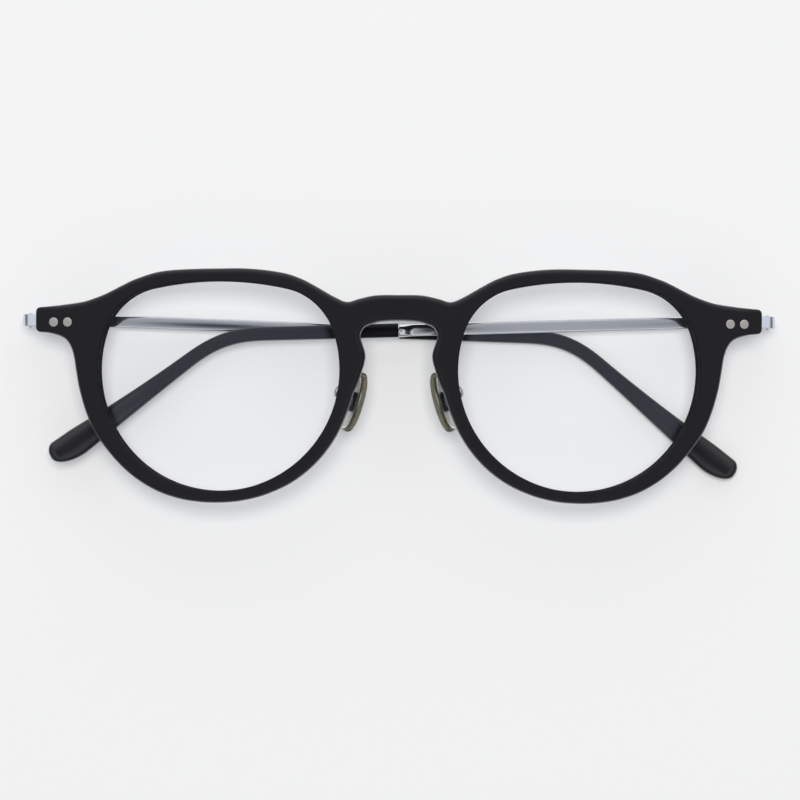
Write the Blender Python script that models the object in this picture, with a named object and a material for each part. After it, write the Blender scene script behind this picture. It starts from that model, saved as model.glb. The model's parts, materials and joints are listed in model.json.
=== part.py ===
# Round acetate eyeglasses, folded, lying on their temples with the front face up.
# +X is the wearer's left, +Y is up the wearer's face, +Z is out of the front.
# The surface that they lie on is z = 0, and x = 0 is the plane of symmetry.

import math

import bmesh
import bpy
from mathutils import Matrix, Vector

MM = 0.001

# Lenses and rims
LENS_WIDTH = 47.2 * MM
LENS_HEIGHT = 41.0 * MM
LENS_GAP = 21.2 * MM  # between the lenses, across the bridge
LENS_TOP_RADIUS = 60.0 * MM
LENS_CORNER_RADIUS = 13.0 * MM
LENS_THICKNESS = 1.9 * MM
LENS_RISE = 1.6 * MM  # how far the middle stands out of the edge's plane
LENS_BEVEL = 0.6 * MM  # height of the V edge that sits in the groove
LENS_BEVEL_HALF = 0.75 * MM
LENS_CLEARANCE = 0.08 * MM
RIM_WALL = 1.85 * MM  # from the lens edge to the rim's outside, at the top
RIM_WALL_BOTTOM = 1.68 * MM
FRONT_THICKNESS = 4.0 * MM
FRONT_EDGE = 0.9 * MM  # rounding of the outer edges
APERTURE_EDGE = 0.6 * MM  # rounding of the edges round the lenses
FRONT_CURVE = 420.0 * MM  # radius that the front is bent to
BRIDGE_DROP = 3.15 * MM  # the bridge's top below the lenses' top
BRIDGE_HEIGHT = 4.9 * MM
END_PIECE_REACH = 11.6 * MM  # from the lens edge to the end piece's side
END_PIECE_DROP = 7.9 * MM  # the hinge line below the lenses' top
END_PIECE_HEIGHT = 4.8 * MM
END_PIECE_CORNER = 0.9 * MM

# Metal of the end pieces
METAL_THICKNESS = 1.2 * MM
PLATE_HEIGHT = 2.3 * MM
PLATE_LENGTH = 7.6 * MM  # on the acetate, from the end piece's side inwards
PLATE_CLEARANCE = 0.1 * MM
PLATE_STAND_OUT = 3.65 * MM  # the metal's outside past the end piece's side
PLATE_BEND_RADIUS = 0.5 * MM
PLATE_DEPTH = 5.2 * MM  # from the end piece's back to the hinge axis
RIVET_RADIUS = 0.88 * MM
RIVET_SHANK_RADIUS = 0.6 * MM
RIVET_HEAD = 0.7 * MM
RIVET_CROWN = 0.12 * MM  # how far the head stands out of the front's face
RIVET_SPACING = 2.7 * MM
RIVET_INSET = 3.6 * MM  # outer rivet from the end piece's side
RIVET_DROP = 0.5 * MM  # rivets below the hinge line
RIVET_CLEARANCE = 0.06 * MM

# Hinges
KNUCKLE_RADIUS = 1.25 * MM
KNUCKLE_CLEARANCE = 0.1 * MM
HINGE_HEIGHT = 2.8 * MM
CENTRE_KNUCKLE = 0.9 * MM
WASHER_THICKNESS = 0.12 * MM
WASHER_CLEARANCE = 0.03 * MM
BUTT_CLEARANCE = 0.12 * MM
SCREW_RADIUS = 0.5 * MM
SCREW_HEAD_RADIUS = 0.85 * MM
SCREW_HEAD = 0.35 * MM
SCREW_SLOT = 0.24 * MM
SCREW_CLEARANCE = 0.05 * MM

# Temples
BAR_HEIGHT = 2.4 * MM
BAR_LENGTH = 70.6 * MM  # from the hinge to the acetate tip
BAR_RISE = 0.45 * MM  # the bar's middle above the hinge's
COLLAR_LENGTH = 3.0 * MM
COLLAR_HEIGHT = 2.7 * MM
COLLAR_THICKNESS = 2.2 * MM
CORE_HEIGHT = 1.3 * MM
CORE_THICKNESS = 0.8 * MM
CORE_LENGTH = 48.0 * MM
CORE_CLEARANCE = 0.1 * MM
CORE_ROOT = 0.5 * MM  # how far the core reaches into the collar
TIP_THICKNESS = 3.0 * MM
TIP_FRONT_HEIGHT = 2.7 * MM
TIP_BACK_HEIGHT = 5.2 * MM
TEMPLE_LENGTH = 146.0 * MM
FLARE_START = 104.0 * MM  # where the tips begin to widen
BEND_LENGTH = 18.0 * MM
BEND_EASE = 4.0  # degrees that the tips straighten again behind the bend
TIP_CURVE = 1.6 * MM  # how far the tips' ends curve towards the head
TIP_THICKEN = 22.0 * MM  # the length that the tips take to reach their thickness
SLOPE = {1: 1.7, -1: 1.9}  # degrees that the left and the right temple drop
BEND_START = {1: 94.9 * MM, -1: 93.9 * MM}  # each tip is bent to fit its ear
BEND_DROP = {1: 36.7, -1: 40.2}  # degrees
STACK_CLEARANCE = 0.5 * MM  # between one folded temple and the other

# Nose pads
PAD_LENGTH = 11.8 * MM
PAD_WIDTH = 6.4 * MM
PAD_THICKNESS = 2.1 * MM
PAD_INSET = 2.1 * MM  # the pad's middle past the lens edge, towards the nose
PAD_DROP = 3.0 * MM  # the pad's middle below the lenses' middle
PAD_SET_BACK = 5.0 * MM  # the pad's middle behind the front's back face
PAD_SPLAY = 28.0  # degrees
PAD_TILT = 16.0  # degrees
PAD_PLATE_LENGTH = 9.6 * MM
PAD_PLATE_WIDTH = 4.2 * MM
PAD_PLATE_THICKNESS = 0.5 * MM
PAD_TAB_WIDTH = 0.8 * MM
PAD_TAB_RADIUS = 0.8 * MM
PAD_TAB_REACH = 1.3 * MM  # from the pad's outer face to the screw
PAD_CLEARANCE = 0.08 * MM
PAD_BOX_WALL = 0.5 * MM
PAD_BOX_HEIGHT = 3.0 * MM
PAD_SCREW_RADIUS = 0.4 * MM
PAD_SCREW_HEAD_RADIUS = 0.65 * MM
PAD_SCREW_HEAD = 0.3 * MM
ARM_RADIUS = 0.5 * MM
ARM_FOOT_RADIUS = 1.1 * MM
ARM_FOOT_DEPTH = 1.2 * MM
ARM_FOOT_CLEARANCE = 0.1 * MM
ARM_FOOT_RISE = 1.5 * MM  # the foot above the lenses' middle
ARM_FOOT_INSET = 1.9 * MM  # the foot past the lens edge, into the rim
ARM_FOOT_FLANGE = 0.3 * MM  # the foot's rim behind the front's back face
ARM_LEAVE = 2.6 * MM  # how straight the wire leaves the foot
ARM_ARRIVE = 3.2 * MM  # how straight it comes to the box
ARM_SWAY = 0.8 * MM

SIDES = {1: "left", -1: "right"}
LENS_CENTRE = LENS_GAP / 2 + LENS_WIDTH / 2
LENS_TOP = LENS_HEIGHT / 2
HINGE_LINE = LENS_TOP - END_PIECE_DROP
END_SIDE = LENS_CENTRE + LENS_WIDTH / 2 + END_PIECE_REACH
BACK = -FRONT_THICKNESS / 2

MATERIALS = {
    "black_acetate": ((0.018, 0.018, 0.021), 0.45, 0.0),
    "lens": ((0.9, 0.95, 0.97), 0.05, 0.0),
    "temple_metal": ((0.62, 0.65, 0.7), 0.28, 1.0),
    "rivet_metal": ((0.6, 0.58, 0.56), 0.4, 1.0),
    "nylon": ((0.8, 0.8, 0.78), 0.5, 0.0),
    "pad_silicone": ((0.35, 0.32, 0.25), 0.3, 0.0),
}


def clear_scene():
    for item in list(bpy.data.objects):
        bpy.data.objects.remove(item, do_unlink=True)


def material(name):
    found = bpy.data.materials.get(name)
    if found:
        return found
    color, roughness, metallic = MATERIALS[name]
    made = bpy.data.materials.new(name)
    made.use_nodes = True
    shader = made.node_tree.nodes["Principled BSDF"]
    shader.inputs["Base Color"].default_value = (*color, 1.0)
    shader.inputs["Roughness"].default_value = roughness
    shader.inputs["Metallic"].default_value = metallic
    return made


def add_object(name, bm, finish=None, matrix=None):
    """Makes an object of a bmesh, smooth-shaded, with its origin at the matrix."""
    bmesh.ops.recalc_face_normals(bm, faces=bm.faces)
    mesh = bpy.data.meshes.new(name)
    bm.to_mesh(mesh)
    bm.free()
    mesh.shade_smooth()
    mesh.set_sharp_from_angle(angle=math.radians(35))
    item = bpy.data.objects.new(name, mesh)
    if finish:
        mesh.materials.append(material(finish))
    bpy.context.collection.objects.link(item)
    if matrix:
        item.matrix_world = matrix
    return item


def loft(rings):
    """A closed solid through rings that all have the same number of points."""
    bm = bmesh.new()
    loops = [[bm.verts.new(point) for point in ring] for ring in rings]
    bm.faces.new(loops[0])
    for lower, upper in zip(loops, loops[1:]):
        count = len(lower)
        for i in range(count):
            j = (i + 1) % count
            bm.faces.new((lower[i], lower[j], upper[j], upper[i]))
    bm.faces.new(loops[-1])
    return bm


def turned(profile, segments=16):
    """A solid turned about Y from (radius, y) points, bottom to top."""
    rings = []
    for radius, y in profile:
        ring = []
        for i in range(segments):
            angle = math.tau * (i + 0.5) / segments
            ring.append((radius * math.cos(angle), y, radius * math.sin(angle)))
        rings.append(ring)
    return loft(rings)


def extruded(outline, low, high):
    """A solid of an (x, z) outline between two heights in y."""
    return loft([[(x, y, z) for x, z in outline] for y in (low, high)])


def carve(item, bm, operation="DIFFERENCE", matrix=None):
    """Cuts a bmesh's shape out of an object, or joins it to the object."""
    tool = add_object("tool", bm, matrix=matrix)
    bpy.context.view_layer.update()
    modifier = item.modifiers.new("shape", "BOOLEAN")
    modifier.operation = operation
    modifier.solver = "EXACT"
    modifier.object = tool
    settled = bpy.data.meshes.new_from_object(item.evaluated_get(bpy.context.evaluated_depsgraph_get()))
    item.modifiers.remove(modifier)
    item.data = settled
    bpy.data.objects.remove(tool, do_unlink=True)


def arc(centre, radius, start, end, steps):
    """Points on an arc between two angles in degrees, both ends included."""
    points = []
    for i in range(steps + 1):
        angle = math.radians(start + (end - start) * i / steps)
        points.append((centre[0] + radius * math.cos(angle), centre[1] + radius * math.sin(angle)))
    return points


# The lens outline is three tangent arcs on each side: a round lower arc, a corner and a flat top.
LOWER_CENTRE = (LENS_WIDTH - LENS_HEIGHT) / 2
TOP_CENTRE = LENS_TOP - LENS_TOP_RADIUS
TO_LOWER = LENS_WIDTH / 2 - LENS_CORNER_RADIUS
TO_TOP = LENS_TOP_RADIUS - LENS_CORNER_RADIUS
CORNER_Y = (TO_TOP**2 - TO_LOWER**2 + LOWER_CENTRE**2 - TOP_CENTRE**2) / (2 * (LOWER_CENTRE - TOP_CENTRE))
CORNER_X = math.sqrt(TO_LOWER**2 - (CORNER_Y - LOWER_CENTRE) ** 2)
LOWER_ANGLE = math.degrees(math.atan2(CORNER_Y - LOWER_CENTRE, CORNER_X))
TOP_ANGLE = math.degrees(math.atan2(CORNER_Y - TOP_CENTRE, CORNER_X))


def lens_point(angle, grow=0.0):
    """The outline's point where its normal has this angle in degrees; 0 is away from the nose."""
    turn = (angle + 90) % 360 - 90
    if turn < LOWER_ANGLE or turn > 180 - LOWER_ANGLE:
        centre, radius = (0, LOWER_CENTRE), LENS_WIDTH / 2
    elif turn < TOP_ANGLE:
        centre, radius = (CORNER_X, CORNER_Y), LENS_CORNER_RADIUS
    elif turn <= 180 - TOP_ANGLE:
        centre, radius = (0, TOP_CENTRE), LENS_TOP_RADIUS
    else:
        centre, radius = (-CORNER_X, CORNER_Y), LENS_CORNER_RADIUS
    return arc(centre, radius + grow, angle, angle, 1)[0]


def lens_angles():
    """Normal angles that space the outline's points evenly enough."""
    stretches = ((LOWER_ANGLE, TOP_ANGLE, 7), (TOP_ANGLE, 180 - TOP_ANGLE, 6),
                 (180 - TOP_ANGLE, 180 - LOWER_ANGLE, 7), (180 - LOWER_ANGLE, 360 + LOWER_ANGLE, 30))
    angles = []
    for start, end, steps in stretches:
        angles += [start + (end - start) * i / steps for i in range(steps)]
    return angles


def bend(point):
    """Takes a point of the flat front to its place on the bent one."""
    x, y, z = point
    angle = x / FRONT_CURVE
    radius = FRONT_CURVE + z
    return Vector((radius * math.sin(angle), y, radius * math.cos(angle) - FRONT_CURVE + FRONT_HEIGHT))


def front_matrix(x, y, z):
    """The frame of a rigid piece that is fastened to the bent front at a flat point."""
    return Matrix.Translation(bend((x, y, z))) @ Matrix.Rotation(x / FRONT_CURVE, 4, "Y")


def bend_mesh(item):
    for vertex in item.data.vertices:
        vertex.co = bend(vertex.co)


def half_outline():
    """Key points of the front's right-hand half, from the bridge's top clockwise to its underside."""
    inner = LENS_GAP / 2
    outer = LENS_CENTRE + LENS_WIDTH / 2
    top = LENS_TOP
    bridge = top - BRIDGE_DROP
    under = bridge - BRIDGE_HEIGHT

    def rim(angle, wall):
        x, y = lens_point(angle, wall)
        return x + LENS_CENTRE, y

    points = [
        (0, bridge), (inner - 6.2 * MM, bridge - 0.08 * MM), (inner - 3.0 * MM, bridge - 0.75 * MM),
        (inner - 0.8 * MM, bridge - 1.33 * MM), rim(139, RIM_WALL + 1.15 * MM),
        rim(131, RIM_WALL + 0.53 * MM), rim(122, RIM_WALL + 0.25 * MM), rim(112.5, RIM_WALL + 0.25 * MM),
        rim(101.5, RIM_WALL + 0.4 * MM), rim(95.7, RIM_WALL + 0.26 * MM), rim(90, RIM_WALL),
        rim(83, RIM_WALL + 0.25 * MM), rim(79, RIM_WALL + 0.42 * MM), rim(67, RIM_WALL + 0.27 * MM),
        rim(59, RIM_WALL + 0.36 * MM), rim(50.5, RIM_WALL + 0.7 * MM), rim(43, RIM_WALL + 1.35 * MM),
    ]
    # End piece: its top runs out from the rim, and its underside comes back in a hollow curve
    half = END_PIECE_HEIGHT / 2
    corner = END_PIECE_CORNER
    points += [
        (outer + 0.7 * MM, HINGE_LINE + half + 1.54 * MM), (outer + 2.7 * MM, HINGE_LINE + half + 0.97 * MM),
        (outer + 6.8 * MM, HINGE_LINE + half + 0.39 * MM),
        (END_SIDE - 2 * corner, HINGE_LINE + half + 0.05 * MM),
    ]
    points += arc((END_SIDE - corner, HINGE_LINE + half - corner), corner, 90, 0, 3)
    points += arc((END_SIDE - corner, HINGE_LINE - half + corner), corner, 0, -90, 3)
    points += [
        (END_SIDE - 2.8 * MM, HINGE_LINE - half - 0.2 * MM), (outer + 6.1 * MM, HINGE_LINE - half - 1.2 * MM),
        (outer + 4.9 * MM, HINGE_LINE - half - 2.7 * MM), (outer + 4.25 * MM, HINGE_LINE - half - 4.7 * MM),
    ]
    low = RIM_WALL_BOTTOM
    points += [
        rim(0, low + 2.2 * MM), rim(-8, low + 1.77 * MM), rim(-18, low + 1.47 * MM), rim(-27, low + 1.3 * MM),
        rim(-40, low + 0.92 * MM), rim(-51, low + 0.8 * MM), rim(-62, low + 0.65 * MM),
        rim(-72, low + 0.4 * MM), rim(-81, low + 0.15 * MM), rim(-90, low), rim(-100, low + 0.02 * MM),
        rim(-111, low + 0.12 * MM),
        rim(-124, low + 0.32 * MM), rim(-137, low + 0.42 * MM), rim(-150, low + 0.47 * MM),
        rim(-162, low + 0.5 * MM), rim(-170, low + 0.75 * MM),
    ]
    # Keyhole: past the nose contact it opens into a wider round-cornered slot under the bridge
    points += [
        (inner - 2.9 * MM, under - 11.85 * MM), (inner - 3.6 * MM, under - 9.75 * MM),
        (inner - 4.25 * MM, under - 7.4 * MM), (inner - 4.25 * MM, under - 6.2 * MM),
        (inner - 3.8 * MM, under - 4.7 * MM), (inner - 3.35 * MM, under - 3.3 * MM),
        (inner - 3.35 * MM, under - 2.5 * MM), (inner - 4.0 * MM, under - 1.3 * MM),
        (inner - 5.1 * MM, under - 0.75 * MM), (inner - 7.0 * MM, under - 0.2 * MM), (0, under),
    ]
    return points


def smooth_closed(points, longest):
    """A curve through all the points, closed, with points no further apart than asked."""
    count = len(points)
    made = []
    for i in range(count):
        before, start, end, after = (Vector(points[(i + k) % count]) for k in (-1, 0, 1, 2))
        steps = max(1, math.ceil((end - start).length / longest))
        chord = (end - start).length
        leave = (end - before).normalized() * chord
        arrive = (after - start).normalized() * chord
        for k in range(steps):
            t = k / steps
            made.append(start * (2 * t**3 - 3 * t**2 + 1) + leave * (t**3 - 2 * t**2 + t)
                        + end * (3 * t**2 - 2 * t**3) + arrive * (t**3 - t**2))
    return made


def inset(points, amount):
    """A clockwise closed outline drawn in by an amount."""
    count = len(points)
    made = []
    for i in range(count):
        before, here, after = points[i - 1], points[i], points[(i + 1) % count]
        along = (here - before).normalized() + (after - here).normalized()
        inward = Vector((along.y, -along.x)).normalized()
        made.append(here + inward * amount)
    return made


def build_front():
    half = half_outline()
    mirrored = [(-x, y) for x, y in reversed(half[1:-1])]
    outline = smooth_closed(half + mirrored, 2.6 * MM)
    face = FRONT_THICKNESS / 2
    soft = FRONT_EDGE * (1 - math.sqrt(0.5))
    rings = []
    for z, drawn_in in ((face, FRONT_EDGE), (face - soft, soft), (face - FRONT_EDGE, 0)):
        rings.append([(p.x, p.y, z) for p in inset(outline, drawn_in)])
    rings += [[(x, y, -z) for x, y, z in ring] for ring in reversed(rings)]
    front = add_object("front_frame", loft(rings), "black_acetate")
    for side in SIDES:
        carve(front, aperture(side))
    bm = bmesh.new()
    bm.from_mesh(front.data)
    bmesh.ops.triangulate(bm, faces=bm.faces)
    bm.to_mesh(front.data)
    bm.free()
    bend_mesh(front)
    front.data.shade_smooth()
    front.data.set_sharp_from_angle(angle=math.radians(35))
    return front


def ring_at(side, z, grow, share=1.0):
    """A flat ring of one lens's outline, grown by an amount or drawn towards its middle."""
    points = [lens_point(angle, grow) for angle in lens_angles()]
    return [(side * (LENS_CENTRE + x * share), y * share, z) for x, y in points]


def aperture(side):
    """The solid that opens one rim: rounded at both faces, with the lens groove between."""
    face = FRONT_THICKNESS / 2
    soft = APERTURE_EDGE * (1 - math.sqrt(0.5))
    over = 0.1 * MM
    steep = (APERTURE_EDGE - soft) / soft
    half = [(face + over, APERTURE_EDGE + over * steep), (face - soft, soft), (face - APERTURE_EDGE, 0),
            (LENS_BEVEL_HALF, 0)]
    profile = half + [(0, LENS_BEVEL)] + [(-z, grow) for z, grow in reversed(half)]
    return loft([ring_at(side, z, grow - LENS_BEVEL) for z, grow in profile])


def build_lens(side):
    half = LENS_THICKNESS / 2
    shares = (0.25, 0.65)
    shoulder = -LENS_BEVEL - LENS_CLEARANCE
    rings = [ring_at(side, half + LENS_RISE * (1 - share**2), shoulder, share) for share in shares]
    rings += [ring_at(side, z, shoulder) for z in (half, LENS_BEVEL_HALF)]
    rings += [ring_at(side, 0, -LENS_CLEARANCE)]
    rings += [ring_at(side, -z, shoulder) for z in (LENS_BEVEL_HALF, half)]
    rings += [ring_at(side, LENS_RISE * (1 - share**2) - half, shoulder, share) for share in reversed(shares)]
    lens = add_object("lens_" + SIDES[side], loft(rings), "lens")
    bend_mesh(lens)
    return lens


def rivet_profile(grow):
    """From the shank's end, level with the plate's back, to the crowned head in the front face."""
    face = FRONT_THICKNESS / 2
    end = BACK - PLATE_CLEARANCE - METAL_THICKNESS
    return [(RIVET_SHANK_RADIUS + grow, end - grow), (RIVET_SHANK_RADIUS + grow, face - RIVET_HEAD - grow),
            (RIVET_RADIUS + grow, face - RIVET_HEAD - grow), (RIVET_RADIUS + grow, face + grow),
            (RIVET_RADIUS * 0.6 + grow, face + RIVET_CROWN + grow)]


def rivet_matrix(side, number):
    x = END_SIDE - RIVET_INSET - number * RIVET_SPACING
    return front_matrix(side * x, HINGE_LINE - RIVET_DROP, 0) @ Matrix.Rotation(math.radians(90), 4, "X")


def build_rivets(side, front, plate):
    for number, name in enumerate(("outer", "inner")):
        matrix = rivet_matrix(side, number)
        for holder in (front, plate):
            carve(holder, turned(rivet_profile(RIVET_CLEARANCE)), matrix=matrix)
        add_object(f"rivet_{SIDES[side]}_{name}", turned(rivet_profile(0)), "rivet_metal", matrix)


def hinge_matrix(side):
    return Matrix.Translation((side * HINGE_X, HINGE_LINE, HINGE_HEIGHT_Z))


def screw_profile(grow):
    half = HINGE_HEIGHT / 2
    return [(SCREW_RADIUS + grow, -half - grow), (SCREW_RADIUS + grow, half - SCREW_HEAD),
            (SCREW_HEAD_RADIUS + grow, half), (SCREW_HEAD_RADIUS + grow, half + grow)]


def knuckle_slots(centre):
    """The spaces that the other leaf's knuckles turn in: the middle one, or the two outer ones."""
    gap = CENTRE_KNUCKLE / 2 + WASHER_THICKNESS + 2 * WASHER_CLEARANCE
    radius = KNUCKLE_RADIUS + KNUCKLE_CLEARANCE
    if centre:
        return [turned([(radius, -gap), (radius, gap)])]
    inner, outer = CENTRE_KNUCKLE / 2, HINGE_HEIGHT
    return [turned([(radius, inner), (radius, outer)]), turned([(radius, -outer), (radius, -inner)])]


def build_end_plate(side):
    """A strip along the end piece's back, bent down to the hinge, with two knuckles."""
    half = METAL_THICKNESS / 2
    corner = bend((END_SIDE, HINGE_LINE, BACK - PLATE_CLEARANCE - half))
    along = Vector((math.cos(END_LEAN), -math.sin(END_LEAN)))
    bend_radius = PLATE_BEND_RADIUS + half
    turn = math.pi / 2 - END_LEAN
    reach = (WALL_X - corner.x) / along.x
    tangent = bend_radius * math.tan(turn / 2)
    meeting = Vector((corner.x, corner.z)) + along * reach
    start = Vector((corner.x, corner.z)) - along * PLATE_LENGTH
    middle = Vector((meeting.x - bend_radius, meeting.y - tangent))
    path = [start, meeting - along * tangent]
    path += [Vector(p) for p in arc(middle, bend_radius, 90 - math.degrees(END_LEAN), 0, 6)[1:]]
    path.append(Vector((WALL_X, HINGE_HEIGHT_Z + BUTT_CLEARANCE)))
    left, right = [], []
    for i, point in enumerate(path):
        run = (path[min(i + 1, len(path) - 1)] - path[max(i - 1, 0)]).normalized()
        normal = Vector((-run.y, run.x)) * half
        left.append(point + normal)
        right.append(point - normal)
    left[0], right[0] = start + Vector((-along.y, along.x)) * half, start - Vector((-along.y, along.x)) * half
    left[-1] = path[-1] + Vector((half, 0))
    right[-1] = path[-1] - Vector((half, 0))
    outline = [(side * p.x, p.y) for p in left + right[::-1]]
    plate = add_object("end_plate_" + SIDES[side],
                       extruded(outline, HINGE_LINE - PLATE_HEIGHT / 2, HINGE_LINE + PLATE_HEIGHT / 2),
                       "temple_metal")
    knuckle = turned([(KNUCKLE_RADIUS, -HINGE_HEIGHT / 2), (KNUCKLE_RADIUS, HINGE_HEIGHT / 2)])
    carve(plate, knuckle, "UNION", hinge_matrix(side))
    for slot in knuckle_slots(True):
        carve(plate, slot, matrix=hinge_matrix(side))
    carve(plate, turned(screw_profile(SCREW_CLEARANCE)), matrix=hinge_matrix(side))
    return plate


def build_hinge(side):
    name = SIDES[side]
    matrix = hinge_matrix(side)
    screw = add_object("hinge_screw_" + name, turned(screw_profile(0)), "temple_metal", matrix)
    slot = SCREW_SLOT / 2
    top = HINGE_HEIGHT / 2
    outline = [(-slot, -SCREW_RADIUS * 2), (slot, -SCREW_RADIUS * 2), (slot, SCREW_RADIUS * 2),
               (-slot, SCREW_RADIUS * 2)]
    carve(screw, extruded(outline, top - SCREW_HEAD / 2, top + SCREW_HEAD), matrix=matrix)
    middle = (CENTRE_KNUCKLE + WASHER_THICKNESS) / 2 + WASHER_CLEARANCE
    hole = SCREW_RADIUS + SCREW_CLEARANCE
    for place, sign in (("upper", 1), ("lower", -1)):
        ends = [sign * middle - WASHER_THICKNESS / 2, sign * middle + WASHER_THICKNESS / 2]
        washer = add_object(f"hinge_washer_{name}_{place}", turned([(KNUCKLE_RADIUS, y) for y in ends]),
                            "nylon", matrix)
        carve(washer, turned([(hole, ends[0] - MM), (hole, ends[1] + MM)]), matrix=matrix)


def temple_path(side):
    """Stations (distance, along, down, inward, heading) of a temple's middle line."""
    step = 1.0 * MM
    along, down = 0.0, -BAR_RISE
    stations = []
    for i in range(round(TEMPLE_LENGTH / step) + 1):
        distance = i * step
        bent = min(1.0, max(0.0, (distance - BEND_START[side]) / BEND_LENGTH))
        past = max(0.0, distance - BEND_START[side]) / (TEMPLE_LENGTH - BEND_START[side])
        turned_down = BEND_DROP[side] * (3 * bent**2 - 2 * bent**3) - BEND_EASE * past
        heading = math.radians(SLOPE[side] + turned_down)
        stations.append((distance, along, down, TIP_CURVE * past**2, heading))
        along += step * math.cos(heading)
        down += step * math.sin(heading)
    return stations


def station(side, distance):
    """The middle line's place and heading at any distance from the hinge."""
    line = temple_path(side)
    i = min(len(line) - 2, int(distance / (line[1][0] - line[0][0])))
    share = (distance - line[i][0]) / (line[1][0] - line[0][0])
    return [a + (b - a) * share for a, b in zip(line[i], line[i + 1])][1:]


def temple_ring(side, distance, height, thickness, section):
    """A cross-section of a temple, folded along -X on the left side, as (x, y, z) points."""
    along, down, inward, heading = station(side, distance)
    points = []
    for up, out in section:
        y = up * height / 2
        points.append((-side * (along + y * math.sin(heading)), -down + y * math.cos(heading),
                       -BAR_OFFSET + inward + out * thickness / 2))
    return points


def round_section(power, count):
    """A rounded rectangle's points, each coordinate from -1 to 1."""
    points = []
    for i in range(count):
        angle = math.tau * (i + 0.5) / count
        x, y = math.cos(angle), math.sin(angle)
        points.append((math.copysign(abs(x) ** (2 / power), x), math.copysign(abs(y) ** (2 / power), y)))
    return points


def tip_size(distance):
    """Height and thickness of the acetate tip: it widens along the drop and ends in a round."""
    grown = min(1.0, (distance - BAR_LENGTH) / TIP_THICKEN)
    widest = TEMPLE_LENGTH - 1.5 * TIP_BACK_HEIGHT
    blend = min(1.0, max(0.0, distance - FLARE_START) / (widest - FLARE_START))
    height = TIP_FRONT_HEIGHT + (TIP_BACK_HEIGHT - TIP_FRONT_HEIGHT) * blend
    thickness = COLLAR_THICKNESS + (TIP_THICKNESS - COLLAR_THICKNESS) * grown
    left = TEMPLE_LENGTH - distance
    reach = TIP_BACK_HEIGHT / 2
    if left < reach:
        close = math.sqrt(max(0.0, 1 - ((reach - left) / reach) ** 2))
        height *= max(0.25, close)
        thickness *= max(0.4, close**0.6)
    return height, thickness


def tip_rings(side):
    reach = TIP_BACK_HEIGHT / 2
    ends = [0.0, 0.01, 0.07, 0.2, 0.45, 1.0]
    straight = [BAR_LENGTH + CORE_CLEARANCE, 0.5 * (BAR_LENGTH + BEND_START[side])]
    bent = [BEND_START[side] + BEND_LENGTH * i / 7 for i in range(8)]
    last = TEMPLE_LENGTH - reach
    after = [bent[-1] + (last - bent[-1]) * i / 4 for i in range(1, 4)]
    distances = straight + bent + after + [TEMPLE_LENGTH - reach * share for share in reversed(ends)]
    return [temple_ring(side, d, *tip_size(d), round_section(2.8, 16)) for d in distances]


def core_rings(side, grow):
    ends = [BAR_LENGTH - CORE_ROOT - grow, 0.5 * (BAR_LENGTH + BEND_START[side])]
    bent = [BEND_START[side] + (BAR_LENGTH + CORE_LENGTH + grow - BEND_START[side]) * i / 6 for i in range(7)]
    section = round_section(3.0, 8)
    return [temple_ring(side, d, CORE_HEIGHT + 2 * grow, CORE_THICKNESS + 2 * grow, section)
            for d in ends + bent]


def temple_matrix(side):
    return hinge_matrix(side) @ Matrix.Rotation(FOLD_TILT, 4, "Y")


def build_temple(side):
    name = SIDES[side]
    matrix = temple_matrix(side)
    flat = [(1, 0.75), (0.85, 1), (0, 1.0), (-0.85, 1), (-1, 0.75), (-1, -0.75), (-0.85, -1), (0.85, -1)]
    rings = [temple_ring(side, d, BAR_HEIGHT, METAL_THICKNESS, flat) for d in (0, BAR_LENGTH - COLLAR_LENGTH)]
    rings += [temple_ring(side, BAR_LENGTH, COLLAR_HEIGHT, COLLAR_THICKNESS, flat)]
    bar = add_object("temple_bar_" + name, loft(rings), "temple_metal", matrix)
    knuckle = turned([(KNUCKLE_RADIUS, -HINGE_HEIGHT / 2), (KNUCKLE_RADIUS, HINGE_HEIGHT / 2)])
    carve(bar, knuckle, "UNION", matrix)
    for slot in knuckle_slots(False):
        carve(bar, slot, matrix=matrix)
    hole = SCREW_RADIUS + SCREW_CLEARANCE
    carve(bar, turned([(hole, -HINGE_HEIGHT), (hole, HINGE_HEIGHT)]), matrix=matrix)
    carve(bar, loft(core_rings(side, 0)), "UNION", matrix)
    tip = add_object("temple_tip_" + name, loft(tip_rings(side)), "black_acetate", matrix)
    carve(tip, loft(core_rings(side, CORE_CLEARANCE)), matrix=matrix)


def pad_matrix(side):
    """At the pad's middle: -x faces the nose, y runs up the pad, z runs to its front edge."""
    x = side * (LENS_CENTRE - LENS_WIDTH / 2 - PAD_INSET)
    place = bend((x, -PAD_DROP, BACK - PAD_SET_BACK))
    tilt = Matrix.Rotation(math.radians(side * PAD_TILT), 4, "Z")
    splay = Matrix.Rotation(math.radians(-side * PAD_SPLAY), 4, "Y")
    return Matrix.Translation(place) @ tilt @ splay


def pivot_matrix(side):
    return pad_matrix(side) @ Matrix.Translation((side * PAD_PIVOT, 0, 0))


def pad_slab(side, length, width, stations):
    """An oval slab in the pivot's frame from (x, share) stations, x from the pad's middle."""
    rings = []
    for x, share in stations:
        ring = []
        for long, wide in round_section(2.3, 28):
            ring.append((side * (x - PAD_PIVOT), long * share * length / 2, wide * share * width / 2))
        rings.append(ring)
    return loft(rings)


def box_bm(side, x, y, z):
    """A block between pairs of bounds, its x bounds mirrored by the side."""
    corners = [(x[0], z[0]), (x[1], z[0]), (x[1], z[1]), (x[0], z[1])]
    return extruded([(side * a, b) for a, b in corners], *y)


def along_z(profile, segments=16):
    """A solid turned about Z."""
    bm = turned(profile, segments)
    bmesh.ops.rotate(bm, verts=bm.verts, cent=(0, 0, 0), matrix=Matrix.Rotation(math.radians(90), 3, "X"))
    return bm


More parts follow.
